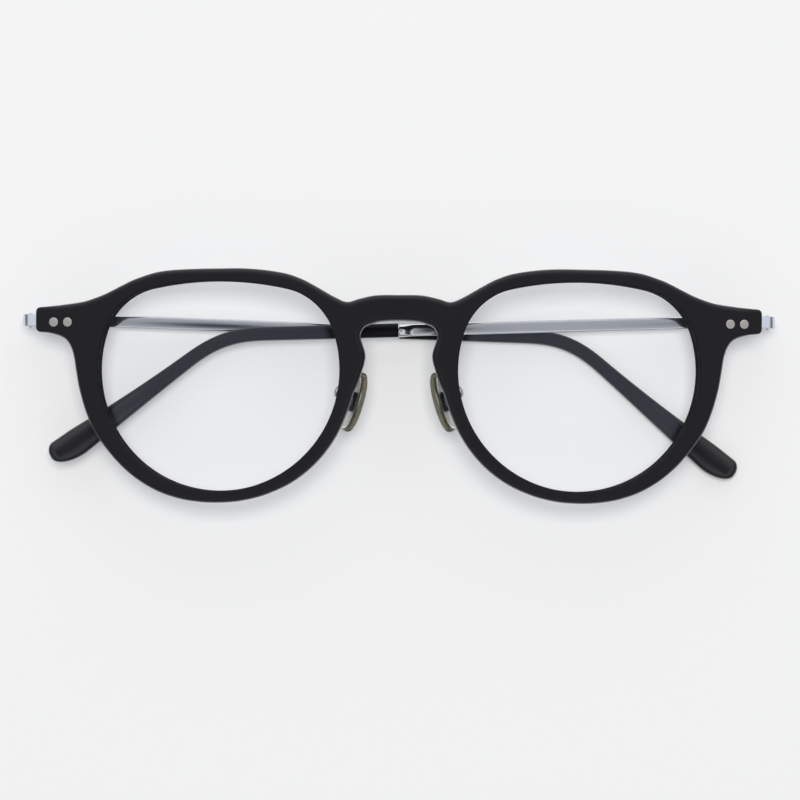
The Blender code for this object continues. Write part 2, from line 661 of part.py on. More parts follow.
def build_pad(side):
    name = SIDES[side]
    matrix = pivot_matrix(side)
    half = PAD_THICKNESS / 2
    pad = add_object("nose_pad_" + name,
                     pad_slab(side, PAD_LENGTH, PAD_WIDTH,
                              [(-half, 0.5), (-half * 0.85, 0.78), (-half * 0.5, 0.94),
                               (0, 1.0), (half * 0.6, 0.97), (half, 0.88)]),
                     "pad_silicone", matrix)
    seat = half - PAD_PLATE_THICKNESS
    fit = PAD_CLEARANCE
    carve(pad, pad_slab(side, PAD_PLATE_LENGTH + 2 * fit, PAD_PLATE_WIDTH + 2 * fit,
                        [(seat - fit, 1.0), (half + MM, 1.0)]), matrix=matrix)
    core = add_object("pad_core_" + name, pad_slab(side, PAD_PLATE_LENGTH, PAD_PLATE_WIDTH,
                                                   [(seat, 1.0), (half, 1.0)]), "temple_metal", matrix)
    tab = PAD_TAB_WIDTH / 2
    low = half - PAD_PIVOT - PAD_PLATE_THICKNESS / 2
    carve(core, box_bm(side, (low, 0), (-PAD_TAB_RADIUS, PAD_TAB_RADIUS), (-tab, tab)), "UNION", matrix)
    carve(core, along_z([(PAD_TAB_RADIUS, -tab), (PAD_TAB_RADIUS, tab)]), "UNION", matrix)
    hole = PAD_SCREW_RADIUS + SCREW_CLEARANCE
    carve(core, along_z([(hole, -2 * tab), (hole, 2 * tab)]), matrix=matrix)


def build_pad_arm(side, front):
    """A foot in the rim's back, a curved wire, and the box that the pad's tab rocks in."""
    name = SIDES[side]
    pivot = pivot_matrix(side)
    slot = PAD_TAB_WIDTH / 2 + PAD_CLEARANCE
    cheek = slot + PAD_BOX_WALL
    reach = PAD_TAB_RADIUS + PAD_CLEARANCE
    arm = add_object("pad_arm_" + name,
                     box_bm(side, (-PAD_TAB_RADIUS, reach + PAD_BOX_WALL),
                            (-PAD_BOX_HEIGHT / 2, PAD_BOX_HEIGHT / 2), (-cheek, cheek)), "temple_metal")
    arm.data.transform(pivot)
    carve(arm, box_bm(side, (-MM, reach), (-PAD_BOX_HEIGHT, PAD_BOX_HEIGHT), (-slot, slot)), matrix=pivot)
    inner = LENS_CENTRE - LENS_WIDTH / 2 - ARM_FOOT_INSET
    foot = front_matrix(side * inner, ARM_FOOT_RISE, BACK)
    start = foot @ Vector((0, 0, ARM_FOOT_FLANGE))
    leave = foot @ Vector((0, 0, -ARM_LEAVE))
    end = pivot @ Vector((side * (reach + PAD_BOX_WALL / 2), 0, 0))
    arrive = pivot @ Vector((side * (reach + ARM_ARRIVE), ARM_SWAY, 0))
    carve(arm, wire([start, leave, arrive, end], ARM_RADIUS), "UNION")
    disc = [(ARM_FOOT_RADIUS, -ARM_FOOT_FLANGE), (ARM_FOOT_RADIUS, ARM_FOOT_DEPTH)]
    carve(arm, along_z([(r, -y) for r, y in disc]), "UNION", foot)
    hole = ARM_FOOT_RADIUS + ARM_FOOT_CLEARANCE
    carve(front, along_z([(hole, MM), (hole, -ARM_FOOT_DEPTH - ARM_FOOT_CLEARANCE)]), matrix=foot)
    bore = PAD_SCREW_RADIUS + SCREW_CLEARANCE
    carve(arm, along_z([(bore, -2 * cheek), (bore, 2 * cheek)]), matrix=pivot)
    shank = cheek + SCREW_CLEARANCE
    add_object("pad_screw_" + name,
               along_z([(PAD_SCREW_RADIUS, cheek), (PAD_SCREW_RADIUS, -shank), (PAD_SCREW_HEAD_RADIUS, -shank),
                        (PAD_SCREW_HEAD_RADIUS, -shank - PAD_SCREW_HEAD)]), "temple_metal", pivot)


def wire(control, radius, steps=12, sides=10):
    """A round wire along the curve of four control points."""
    points = []
    for i in range(steps + 1):
        t = i / steps
        a, b, c, d = control
        points.append(a * (1 - t) ** 3 + b * (3 * t * (1 - t) ** 2) + c * (3 * t**2 * (1 - t)) + d * t**3)
    rings = []
    across = Vector((0, 1, 0))
    for i, point in enumerate(points):
        run = (points[min(i + 1, steps)] - points[max(i - 1, 0)]).normalized()
        across = (across - run * across.dot(run)).normalized()
        other = run.cross(across)
        rings.append([point + across * (radius * math.cos(math.tau * k / sides))
                      + other * (radius * math.sin(math.tau * k / sides)) for k in range(sides)])
    return loft(rings)


# Where the hinges stand: the lowest point of the lower temple touches z = 0
END_LEAN = END_SIDE / FRONT_CURVE
WALL_X = (FRONT_CURVE + BACK) * math.sin(END_LEAN) + PLATE_STAND_OUT - METAL_THICKNESS / 2
BAR_OFFSET = KNUCKLE_RADIUS
HINGE_X = WALL_X - BAR_OFFSET
STACK = (TIP_THICKNESS + METAL_THICKNESS) / 2 + STACK_CLEARANCE
FOLD_TILT = math.asin(STACK / (2 * HINGE_X))


def hinge_height():
    turn = Matrix.Rotation(FOLD_TILT, 4, "Y")
    return -min((turn @ Vector(point)).z for ring in tip_rings(-1) for point in ring)


HINGE_HEIGHT_Z = hinge_height()
FRONT_HEIGHT = HINGE_HEIGHT_Z + PLATE_DEPTH + FRONT_CURVE - (FRONT_CURVE + BACK) * math.cos(END_LEAN)
PAD_PIVOT = PAD_THICKNESS / 2 + PAD_TAB_REACH


def main():
    clear_scene()
    front = build_front()
    for side in SIDES:
        build_lens(side)
        plate = build_end_plate(side)
        build_rivets(side, front, plate)
        build_hinge(side)
        build_temple(side)
        build_pad_arm(side, front)
        build_pad(side)


main()
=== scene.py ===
import json
import math

import bmesh
import bpy
from mathutils import Matrix, Vector


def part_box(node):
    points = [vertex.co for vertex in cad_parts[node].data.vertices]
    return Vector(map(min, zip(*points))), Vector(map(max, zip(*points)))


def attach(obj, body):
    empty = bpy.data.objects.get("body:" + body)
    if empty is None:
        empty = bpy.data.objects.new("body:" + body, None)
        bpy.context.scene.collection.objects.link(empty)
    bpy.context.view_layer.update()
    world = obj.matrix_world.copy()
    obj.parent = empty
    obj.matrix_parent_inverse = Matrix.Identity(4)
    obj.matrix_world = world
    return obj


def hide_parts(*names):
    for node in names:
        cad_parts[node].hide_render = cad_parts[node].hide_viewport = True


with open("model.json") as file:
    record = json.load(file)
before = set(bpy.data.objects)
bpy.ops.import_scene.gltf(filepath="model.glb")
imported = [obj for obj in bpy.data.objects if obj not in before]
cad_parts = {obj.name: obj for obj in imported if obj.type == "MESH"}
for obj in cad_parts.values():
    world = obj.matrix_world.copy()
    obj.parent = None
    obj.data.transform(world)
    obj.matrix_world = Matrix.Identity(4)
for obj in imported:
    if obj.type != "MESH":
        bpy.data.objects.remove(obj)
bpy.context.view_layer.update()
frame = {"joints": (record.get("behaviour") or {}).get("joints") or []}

# Round acetate eyeglasses, lying folded on a pale table with the front face up.
# Shapes are drawn in millimetres in the frame's own axes and brought to metres when a piece is finished.

mm = 0.001
sides = {"left": 1, "right": -1}
joints = {joint["name"]: joint for joint in frame["joints"]}


def closedRing(bm, points):
    verts = [bm.verts.new(point) for point in points]
    for here, there in zip(verts, verts[1:] + verts[:1]):
        bm.edges.new((here, there))
    return verts


def ringEdges(bm, ring):
    return [bm.edges.get(pair) for pair in zip(ring, ring[1:] + ring[:1])]


def nextRing(bm, ring, points):
    # extrudes a closed ring of edges and sets where the new ring lies
    made = bmesh.ops.extrude_edge_only(bm, edges=ringEdges(bm, ring))["geom"]
    fresh = {item for item in made if isinstance(item, bmesh.types.BMVert)}
    new = []
    for vert, point in zip(ring, points):
        other = next(edge.other_vert(vert) for edge in vert.link_edges if edge.other_vert(vert) in fresh)
        other.co = point
        new.append(other)
    return new


def newLayers(bm, *names):
    for name in names:
        bm.verts.layers.float.new(name)
    return [bm.verts.layers.float[name] for name in names]


def capRing(bm, ring):
    bmesh.ops.edgeloop_fill(bm, edges=ringEdges(bm, ring))


def loft(rings):
    bm = bmesh.new()
    ring = closedRing(bm, rings[0])
    capRing(bm, ring)
    for points in rings[1:]:
        ring = nextRing(bm, ring, points)
    capRing(bm, ring)
    bmesh.ops.recalc_face_normals(bm, faces=bm.faces)
    return bm


def turned(profile, steps=48, axis=(0, 1, 0)):
    # spins (radius, height) points about an axis; the first and last lie on it or are joined to it
    across = Vector((1, 0, 0)) if axis != (1, 0, 0) else Vector((0, 1, 0))
    bm = bmesh.new()
    verts = [bm.verts.new(Vector(axis) * height + across * radius) for radius, height in profile]
    edges = [bm.edges.new(pair) for pair in zip(verts, verts[1:])]
    bmesh.ops.spin(bm, geom=verts + edges, cent=(0, 0, 0), axis=axis, angle=math.tau, steps=steps,
                   use_merge=True)
    bmesh.ops.remove_doubles(bm, verts=bm.verts, dist=1e-4)
    bmesh.ops.recalc_face_normals(bm, faces=bm.faces)
    return bm


def block(low, high, edge=0.0, segments=3):
    bm = bmesh.new()
    low, high = Vector(low), Vector(high)
    bmesh.ops.create_cube(bm, size=1.0)
    bmesh.ops.scale(bm, vec=high - low, verts=bm.verts)
    bmesh.ops.translate(bm, vec=(low + high) / 2, verts=bm.verts)
    if edge:
        bmesh.ops.bevel(bm, geom=bm.edges[:], offset=edge, segments=segments, affect="EDGES", profile=0.5,
                        material=-1)
    return bm


def moved(bm, matrix):
    bmesh.ops.transform(bm, matrix=matrix, verts=bm.verts)
    if matrix.determinant() < 0:
        bmesh.ops.reverse_faces(bm, faces=bm.faces)
    return bm


def looseObject(bm):
    mesh = bpy.data.meshes.new("work")
    bm.to_mesh(mesh)
    bm.free()
    item = bpy.data.objects.new("work", mesh)
    bpy.context.scene.collection.objects.link(item)
    return item


def combined(bm, other, operation="UNION"):
    # joins two closed shapes, or cuts the second out of the first
    item, tool = looseObject(bm), looseObject(other)
    modifier = item.modifiers.new("join", "BOOLEAN")
    modifier.operation = operation
    modifier.solver = "EXACT"
    modifier.object = tool
    result = bmesh.new()
    result.from_object(item, bpy.context.evaluated_depsgraph_get())
    for old in (item, tool):
        mesh = old.data
        bpy.data.objects.remove(old)
        bpy.data.meshes.remove(mesh)
    bmesh.ops.remove_doubles(result, verts=result.verts, dist=1e-5)
    return result


def finishPiece(name, bm, finish, body, node, sharp=32):
    bmesh.ops.scale(bm, vec=(mm, mm, mm), verts=bm.verts)
    bmesh.ops.recalc_face_normals(bm, faces=bm.faces)
    mesh = bpy.data.meshes.new(name)
    bm.to_mesh(mesh)
    bm.free()
    mesh.shade_smooth()
    mesh.set_sharp_from_angle(angle=math.radians(sharp))
    mesh.materials.append(finish)
    piece = bpy.data.objects.new(name, mesh)
    bpy.context.scene.collection.objects.link(piece)
    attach(piece, body)
    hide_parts(node)
    return piece


class Signal:
    # wraps a shader socket, so that sums written on it add their Math nodes
    def __init__(self, wiring, socket):
        self.wiring, self.socket = wiring, socket

    def maths(self, operation, first, second=0.0, third=0.0):
        return self.wiring.node("Math", {"operation": operation}, {0: first, 1: second, 2: third})

    def __add__(self, other):
        return self.maths("ADD", self, other)

    def __sub__(self, other):
        return self.maths("SUBTRACT", self, other)

    def __rsub__(self, other):
        return self.maths("SUBTRACT", other, self)

    def __mul__(self, other):
        return self.maths("MULTIPLY", self, other)

    def between(self, low, high):
        # 0 below low, 1 above high and a soft step from one to the other
        return self.wiring.node("MapRange", {"interpolation_type": "SMOOTHSTEP"},
                                {"Value": self, "From Min": low, "From Max": high})

    __radd__ = __add__
    __rmul__ = __mul__


class Wiring:
    def __init__(self, tree):
        self.tree = tree

    def node(self, kind, settings=None, values=None, output=0):
        made = self.tree.nodes.new("ShaderNode" + kind)
        for key, value in (settings or {}).items():
            setattr(made, key, value)
        for key, value in (values or {}).items():
            self.feed(made.inputs[key], value)
        return Signal(self, made.outputs[output])

    def feed(self, socket, value):
        if isinstance(value, Signal):
            self.tree.links.new(value.socket, socket)
        else:
            socket.default_value = value


class Finish(Wiring):
    def __init__(self, name):
        self.material = bpy.data.materials.new(name)
        self.material.use_nodes = True
        super().__init__(self.material.node_tree)
        self.shader = self.tree.nodes["Principled BSDF"]
        self.place = self.node("TexCoord", output="Object")

    def noise(self, scale, detail=2.0, stretch=(1, 1, 1), roughness=0.5):
        # value from 0 to 1 in lumps about 1 / scale metres across
        place = self.node("Mapping", values={"Vector": self.place, "Scale": stretch})
        return self.node("TexNoise", values={"Vector": place, "Scale": scale, "Detail": detail,
                                             "Roughness": roughness})

    def mix(self, amount, first, second):
        return self.node("Mix", {"data_type": "RGBA"}, {"Factor": amount, 6: first, 7: second}, output=2)

    def set(self, **values):
        for key, value in values.items():
            self.feed(self.shader.inputs[key.replace("_", " ")], value)

    def bump(self, height, strength, distance):
        self.feed(self.shader.inputs["Normal"],
                  self.node("Bump", values={"Height": height, "Strength": strength, "Distance": distance}))


def blackAcetate(name, roughness, dark, light, gloss, coat):
    finish = Finish(name)
    cloud = finish.noise(70, 3)
    grain = finish.noise(5200, 2)
    scuff = finish.noise(420, 4, stretch=(0.25, 1.6, 1.0)).between(0.58, 0.74)
    polish = finish.node("Attribute", {"attribute_name": "polish"}, output="Fac")
    sawn = finish.node("Attribute", {"attribute_name": "sawn"}, output="Fac")
    finish.set(Base_Color=finish.mix(cloud * 0.6 + grain * 0.4, (*dark, 1), (*light, 1)),
               Roughness=roughness + grain * 0.07 + cloud * 0.06 + scuff * 0.05 - polish * 0.09 + sawn * 0.5,
               IOR=1.49, Specular_IOR_Level=gloss, Coat_Weight=polish * coat, Coat_Roughness=0.2)
    finish.bump(grain + scuff * 0.3, 0.10, 0.00003)
    return finish.material


def polishedTitanium(name, roughness, dark, light, along=(0.02, 1, 1), wave=None):
    # wave: place along x, length and steepness in degrees of the slow swell that polishing leaves
    finish = Finish(name)
    streak = finish.noise(3600, 3, stretch=along)
    smudge = finish.noise(160, 3)
    finish.set(Base_Color=finish.mix(streak * 0.5 + smudge * 0.5, (*dark, 1), (*light, 1)), Metallic=1.0,
               Roughness=roughness + streak * 0.04 + smudge.between(0.35, 0.75) * 0.05)
    height = streak * 0.000001
    if wave:
        start, length, steep = wave
        along = finish.node("SeparateXYZ", values={"Vector": finish.place}) - start * mm
        turn = finish.node("Math", {"operation": "COSINE"}, {0: along * (math.tau / (length * mm))})
        height = height + turn * (math.radians(steep) * length * mm / math.tau)
    finish.bump(height, 1.0, 1.0)
    return finish.material


def rivetNickel():
    finish = Finish("rivetNickel")
    fromMiddle = finish.node("Attribute", {"attribute_name": "fromMiddle"}, output="Fac")
    turning = finish.node("Math", {"operation": "SINE"}, {0: fromMiddle * 42})
    speck = finish.noise(6500, 2)
    # the rim is painted lighter: a painted highlight on the head's edge, which is also given a smoother polish
    rim = fromMiddle.between(0.72, 0.95)
    finish.set(Base_Color=finish.mix(rim * 0.7 + speck * 0.3, (0.42, 0.39, 0.36, 1), (0.62, 0.60, 0.57, 1)),
               Metallic=1.0, Roughness=0.42 + turning * 0.04 + speck * 0.08 - rim * 0.1)
    finish.bump(turning * 0.4 + speck, 0.12, 0.00002)
    return finish.material


def coatedLensPaintedGlow():
    finish = Finish("coatedLensPaintedGlow")
    haze = finish.noise(35, 3)
    dust = finish.noise(2600, 1).between(0.74, 0.8)
    edgeOn = finish.node("Fresnel", values={"IOR": 1.42})
    inRim = finish.node("Attribute", {"attribute_name": "inRim"}, output="Fac")
    # the emission set below is a painted glow: faint bluish light painted into the lens to brighten what is
    # seen through it
    finish.set(Base_Color=finish.mix(haze, (0.10, 0.14, 0.22, 1), (0.14, 0.17, 0.24, 1)), IOR=1.6,
               Roughness=0.03 + haze * 0.03 + dust * 0.2,
               Emission_Color=(0.80, 0.90, 1.10, 1), Emission_Strength=0.9,
               Alpha=(0.008 + edgeOn * 0.15 + haze * 0.003) * (1 - inRim * 0.9))
    return finish.material


def smokySilicone():
    finish = Finish("smokySilicone")
    cloud = finish.noise(260, 2)
    skin = finish.noise(2600, 2)
    finish.set(Base_Color=finish.mix(cloud, (0.20, 0.185, 0.12, 1), (0.30, 0.28, 0.20, 1)), IOR=1.40,
               Roughness=0.16 + skin * 0.05 + cloud * 0.05, Transmission_Weight=0.92)
    finish.bump(skin, 0.03, 0.00002)
    return finish.material


def whiteNylon():
    finish = Finish("whiteNylon")
    cloud = finish.noise(900, 2)
    finish.set(Base_Color=finish.mix(cloud, (0.74, 0.74, 0.71, 1), (0.84, 0.84, 0.82, 1)),
               Roughness=0.42 + cloud * 0.12)
    finish.bump(cloud, 0.1, 0.00002)
    return finish.material


frontAcetate = blackAcetate("frontAcetate", 0.38, (0.0035, 0.0031, 0.0048), (0.0068, 0.0062, 0.0085),
                            0.23, 0.8)
tipAcetate = blackAcetate("tipAcetate", 0.26, (0.0015, 0.0016, 0.0022), (0.0035, 0.0036, 0.0045), 0.15, 0.75)
silver = ((0.56, 0.57, 0.60), (0.66, 0.67, 0.70))
barTitanium = {1: polishedTitanium("leftBarTitanium", 0.04, *silver, wave=(12.0, 64.0, 1.5)),
               -1: polishedTitanium("rightBarTitanium", 0.04, *silver, wave=(-40.0, 120.0, 2.2))}
hingeTitanium = polishedTitanium("hingeTitanium", 0.18, (0.58, 0.61, 0.68), (0.70, 0.73, 0.80), (1, 0.1, 0.3))
armTitanium = polishedTitanium("armTitanium", 0.20, (0.50, 0.50, 0.52), (0.62, 0.62, 0.64), (0.4, 0.4, 1))
# the pad box's metal is painted near-black: painted shade standing for the shadow in its slot
boxTitaniumPaintedShade = polishedTitanium("boxTitaniumPaintedShade", 0.34, (0.02, 0.02, 0.02), (0.04, 0.04, 0.038), (0.4, 0.4, 1))
plateTitanium = polishedTitanium("plateTitanium", 0.24, (0.48, 0.47, 0.47), (0.60, 0.59, 0.59), (1, 0.15, 1))
rivetFinish = rivetNickel()
lensFinish = coatedLensPaintedGlow()
padFinish = smokySilicone()
washerFinish = whiteNylon()
print("finishes mixed")


lens = dict(width=47.2, height=41.0, gap=21.2, topRadius=60.0, cornerRadius=13.0, thickness=1.9, rise=1.6,
            bevel=0.6, bevelHalf=0.75, clearance=0.08, safety=0.12)
front = dict(rimWall=1.835, lowWall=1.665, thickness=4.0, bentTo=420.0, outerEdge=1.0, cornerEdge=0.62,
             lensEdge=0.36, spare=0.12, spacing=0.5, edgeSteps=6, bridgeDrop=3.15, bridgeHeight=4.9,
             endReach=11.6, endDrop=7.9, endHeight=4.8, endCorner=0.9, cutEvery=3.0)

lensCentre = (lens["gap"] + lens["width"]) / 2
lensTop = lens["height"] / 2
hingeLine = lensTop - front["endDrop"]
endSide = lensCentre + lens["width"] / 2 + front["endReach"]
faceUp = front["thickness"] / 2
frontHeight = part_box("front_frame")[1].z / mm - faceUp - 0.002

# three tangent arcs on each side: a round lower one, a corner and a flat top
lowerMiddle = (lens["width"] - lens["height"]) / 2
topMiddle = lensTop - lens["topRadius"]
toLower = lens["width"] / 2 - lens["cornerRadius"]
toTop = lens["topRadius"] - lens["cornerRadius"]
cornerY = (toTop**2 - toLower**2 + lowerMiddle**2 - topMiddle**2) / (2 * (lowerMiddle - topMiddle))
cornerX = math.sqrt(toLower**2 - (cornerY - lowerMiddle)**2)
lowerAngle = math.atan2(cornerY - lowerMiddle, cornerX)
topAngle = math.atan2(cornerY - topMiddle, cornerX)


def lensRing(bm, spacing, grow=0.0):
    # spins one vertex round the four arcs, anticlockwise from the end of the right-hand lower arc
    arcs = [((cornerX, cornerY), lens["cornerRadius"], lowerAngle, topAngle),
            ((0, topMiddle), lens["topRadius"], topAngle, math.pi - topAngle),
            ((-cornerX, cornerY), lens["cornerRadius"], math.pi - topAngle, math.pi - lowerAngle),
            ((0, lowerMiddle), lens["width"] / 2, math.pi - lowerAngle, math.tau + lowerAngle)]
    centre, radius, start, _ = arcs[0]
    reach = radius + grow
    last = bm.verts.new((centre[0] + reach * math.cos(start), centre[1] + reach * math.sin(start), 0))
    ring = [last]
    for centre, radius, start, end in arcs:
        steps = max(3, round((radius + grow) * (end - start) / spacing))
        known = set(bm.verts)
        made = bmesh.ops.spin(bm, geom=[last], cent=(*centre, 0), axis=(0, 0, 1), angle=end - start,
                              steps=steps)
        last = next(item for item in made["geom_last"] if isinstance(item, bmesh.types.BMVert))
        fresh = [vert for vert in bm.verts if vert not in known]
        ring += sorted(fresh, key=lambda vert: (math.atan2(vert.co.y - centre[1], vert.co.x - centre[0])
                                                - start + 1e-3) % math.tau)
    ring[0].co = ring[-1].co
    bmesh.ops.remove_doubles(bm, verts=[ring[0], ring[-1]], dist=1e-3)
    return [vert for vert in ring if vert.is_valid]


def outwards(points):
    # the way out of a closed flat outline that runs anticlockwise, at each of its points
    found = []
    for i, here in enumerate(points):
        before, after = points[i - 1], points[(i + 1) % len(points)]
        run = (Vector(here) - Vector(before)).normalized() + (Vector(after) - Vector(here)).normalized()
        found.append(Vector((run.y, -run.x, 0)).normalized())
    return found


def bent(point):
    angle = point[0] / front["bentTo"]
    radius = front["bentTo"] + point[2]
    height = radius * math.cos(angle) - front["bentTo"] + frontHeight
    return Vector((radius * math.sin(angle), point[1], height))


def bentPlace(x, y, z):
    return Matrix.Translation(bent((x, y, z))) @ Matrix.Rotation(x / front["bentTo"], 4, "Y")


def rimPoint(degrees, wall):
    angle = math.radians(degrees)
    turn = (angle + math.pi / 2) % math.tau - math.pi / 2
    if turn < lowerAngle or turn > math.pi - lowerAngle:
        middle, radius = (0, lowerMiddle), lens["width"] / 2
    elif turn < topAngle:
        middle, radius = (cornerX, cornerY), lens["cornerRadius"]
    elif turn <= math.pi - topAngle:
        middle, radius = (0, topMiddle), lens["topRadius"]
    else:
        middle, radius = (-cornerX, cornerY), lens["cornerRadius"]
    reach = radius + wall
    return (lensCentre + middle[0] + reach * math.cos(angle), middle[1] + reach * math.sin(angle))


def halfOutline():
    # from the bridge's top clockwise round the +X half to its underside
    inner, outer = lens["gap"] / 2, lensCentre + lens["width"] / 2
    bridge = lensTop - front["bridgeDrop"]
    under = bridge - front["bridgeHeight"]
    half, corner = front["endHeight"] / 2, front["endCorner"]
    points = [(0, bridge), (inner - 6.2, bridge - 0.08), (inner - 3.0, bridge - 0.75),
              (inner - 0.8, bridge - 1.33)]
    for degrees, more in ((139, 1.15), (131, 0.53), (122, 0.25), (112.5, 0.25), (101.5, 0.4), (95.7, 0.26),
                          (90, 0), (83, 0.25), (79, 0.42), (67, 0.27), (59, 0.36), (50.5, 0.7), (43, 1.35)):
        points.append(rimPoint(degrees, front["rimWall"] + more))
    for x, y in ((0.7, 1.54), (2.7, 0.97), (6.8, 0.39)):
        points.append((outer + x, hingeLine + half + y))
    points.append((endSide - 2 * corner, hingeLine + half + 0.05))
    for middle, start in ((hingeLine + half - corner, 90), (hingeLine - half + corner, 0)):
        for i in range(5):
            angle = math.radians(start - 22.5 * i)
            points.append((endSide - corner + corner * math.cos(angle), middle + corner * math.sin(angle)))
    points.append((endSide - 2.8, hingeLine - half - 0.2))
    for x, y in ((6.1, 1.2), (4.9, 2.7), (4.25, 4.7)):
        points.append((outer + x, hingeLine - half - y))
    for degrees, more in ((0, 2.2), (-8, 1.77), (-18, 1.47), (-27, 1.3), (-40, 0.92), (-51, 0.8), (-62, 0.65),
                          (-72, 0.4), (-81, 0.15), (-90, 0), (-100, 0.02), (-111, 0.12), (-124, 0.32),
                          (-137, 0.42), (-150, 0.47), (-162, 0.5), (-170, 0.75)):
        points.append(rimPoint(degrees, front["lowWall"] + more))
    for x, y in ((2.9, 11.85), (3.6, 9.75), (4.25, 7.4), (4.25, 6.2), (3.8, 4.7), (3.35, 3.3), (3.35, 2.5),
                 (4.0, 1.3), (5.1, 0.75), (7.0, 0.2)):
        points.append((inner - x, under - y))
    return points + [(0, under)]


def smoothClosed(points, longest):
    # a curve through all the points, closed, with points no further apart than asked
    made = []
    for i in range(len(points)):
        before, start, end, after = (Vector(points[(i + k) % len(points)]) for k in (-1, 0, 1, 2))
        chord = (end - start).length
        leave, arrive = (end - before).normalized() * chord, (after - start).normalized() * chord
        for k in range(max(1, math.ceil(chord / longest))):
            t = k / max(1, math.ceil(chord / longest))
            made.append(start * (2 * t**3 - 3 * t**2 + 1) + leave * (t**3 - 2 * t**2 + t)
                        + end * (3 * t**2 - 2 * t**3) + arrive * (t**3 - t**2))
    return made


def roundedWall(bm, ring, inward, radii, groove=()):
    # from a ring round the front face over a rounded edge, down the wall and round to the back face
    flat = [vert.co.copy() for vert in ring]
    steps = front["edgeSteps"]

    def level(share, turn, up):
        return [here + way * (radius * (1 - math.sin(turn)) + share)
                + Vector((0, 0, up * (faceUp - radius * (1 - math.cos(turn)))))
                for here, way, radius in zip(flat, inward, radii)]

    for vert, point in zip(ring, level(front["spare"], 0, 1)):
        vert.co = point
    first = ring
    turns = [math.pi / 2 * i / steps for i in range(steps + 1)]
    for turn in turns:
        ring = nextRing(bm, ring, level(0, turn, 1))
    for deep, height in groove:
        step = Vector((0, 0, height))
        ring = nextRing(bm, ring, [here + way * deep + step for here, way in zip(flat, inward)])
    for turn in reversed(turns):
        ring = nextRing(bm, ring, level(0, turn, -1))
    last = nextRing(bm, ring, level(front["spare"], 0, -1))
    return first, last


def nearEdge(vert):
    # 0 on the flat faces, 1 on the walls
    return min(1.0, max(0.0, (faceUp - abs(vert.co.z)) / 0.4))


def buildFront():
    bm = bmesh.new()
    polish, sawn = newLayers(bm, "polish", "sawn")
    half = halfOutline()
    outline = smoothClosed(half + [(-x, y) for x, y in reversed(half[1:-1])], front["spacing"])
    outline.reverse()      # anticlockwise
    ring = closedRing(bm, [(*point, 0) for point in outline])
    inward = [-way for way in outwards(outline)]
    radii = []
    for point in outline:
        nearCorner = min(1.0, max(0.0, (abs(point.x) - endSide + 4.5) / 2.5))
        radii.append(front["outerEdge"] + (front["cornerEdge"] - front["outerEdge"]) * nearCorner)
    loops = [roundedWall(bm, ring, inward, radii)]
    for vert in bm.verts:
        vert[polish] = nearEdge(vert)
    grooveHalf = lens["bevelHalf"]
    groove = [(0, grooveHalf), (lens["bevel"], 0), (0, -grooveHalf)]
    for side in sides.values():
        ring = lensRing(bm, front["spacing"], -lens["bevel"])
        bmesh.ops.translate(bm, vec=(side * lensCentre, 0, 0), verts=ring)
        ways = outwards([vert.co for vert in ring])
        loops.append(roundedWall(bm, ring, ways, [front["lensEdge"]] * len(ring), groove))
    for end in (0, 1):
        edges = [edge for loop in loops for edge in ringEdges(bm, loop[end])]
        bmesh.ops.triangle_fill(bm, use_beauty=True, use_dissolve=False, edges=edges)
    cut = front["cutEvery"]
    for i in range(-int(endSide / cut), int(endSide / cut) + 1):
        faces = [face for face in bm.faces if abs(face.normal.z) > 0.999]
        flat = list({item for face in faces for item in (*face.verts, *face.edges, face)})
        bmesh.ops.bisect_plane(bm, geom=flat, dist=1e-4, plane_co=((i + 0.21) * cut, 0, 0),
                               plane_no=(1, 0, 0))
    for vert in bm.verts:
        if not vert[polish]:
            vert[sawn] = nearEdge(vert)
        vert.co = bent(vert.co)
    return finishPiece("frontFrame", bm, frontAcetate, "front", "front_frame", sharp=40)


buildFront()
print("front made")


def buildLens(name, side):
    bm = bmesh.new()
    inRim, = newLayers(bm, "inRim")
    half, shoulder = lens["thickness"] / 2, lens["bevel"] + lens["clearance"]
    ring = lensRing(bm, 1.2)
    flat = [vert.co.copy() for vert in ring]
    ways = outwards(flat)
    shares = [0.04] + [i / 14 for i in range(1, 14)] + [0.975]
    safety = lens["safety"]
    rim = [here - way * shoulder for here, way in zip(flat, ways)]

    def domed(share, up):
        height = up * half + lens["rise"] * (1 - share**2)
        return [Vector((here.x * share, here.y * share, height)) for here in rim]

    for vert, point in zip(ring, domed(shares[0], 1)):
        vert.co = point
    capRing(bm, ring)
    for share in shares[1:]:
        ring = nextRing(bm, ring, domed(share, 1))
        for vert in ring:
            vert[inRim] = float(share == shares[-1])
    edge = [(shoulder + safety, half), (shoulder, half - safety), (shoulder, lens["bevelHalf"]),
            (lens["clearance"], 0), (shoulder, -lens["bevelHalf"]), (shoulder, safety - half),
            (shoulder + safety, -half)]
    for drawnIn, height in edge:
        step = Vector((0, 0, height))
        ring = nextRing(bm, ring, [here - way * drawnIn + step for here, way in zip(flat, ways)])
    for share in reversed(shares):
        ring = nextRing(bm, ring, domed(share, -1))
        for vert in ring:
            vert[inRim] = float(share == shares[-1])
    capRing(bm, ring)
    for vert in bm.verts:
        vert.co = bent((vert.co.x + side * lensCentre, vert.co.y, vert.co.z))
    finishPiece(name + "Lens", bm, lensFinish, "front", "lens_" + name)


for name, side in sides.items():
    buildLens(name, side)
print("lenses set in the rims")


rivet = dict(radius=0.88, shank=0.6, head=0.7, crown=0.12, edge=0.07, spacing=2.7, inset=3.6, drop=0.5)
plate = dict(thickness=1.2, height=2.3, length=7.6, clearance=0.1, bendRadius=0.5, edge=0.14)
hinge = dict(radius=1.25, height=2.8, middle=0.9, washer=0.12, play=0.03, turnPlay=0.1, butt=0.12, edge=0.1,
             roundness=0.3, screw=0.5, screwHead=0.85, headHeight=0.35, slot=0.24, bore=0.05)

metalHalf = plate["thickness"] / 2
endLean = endSide / front["bentTo"]
backDown = -faceUp


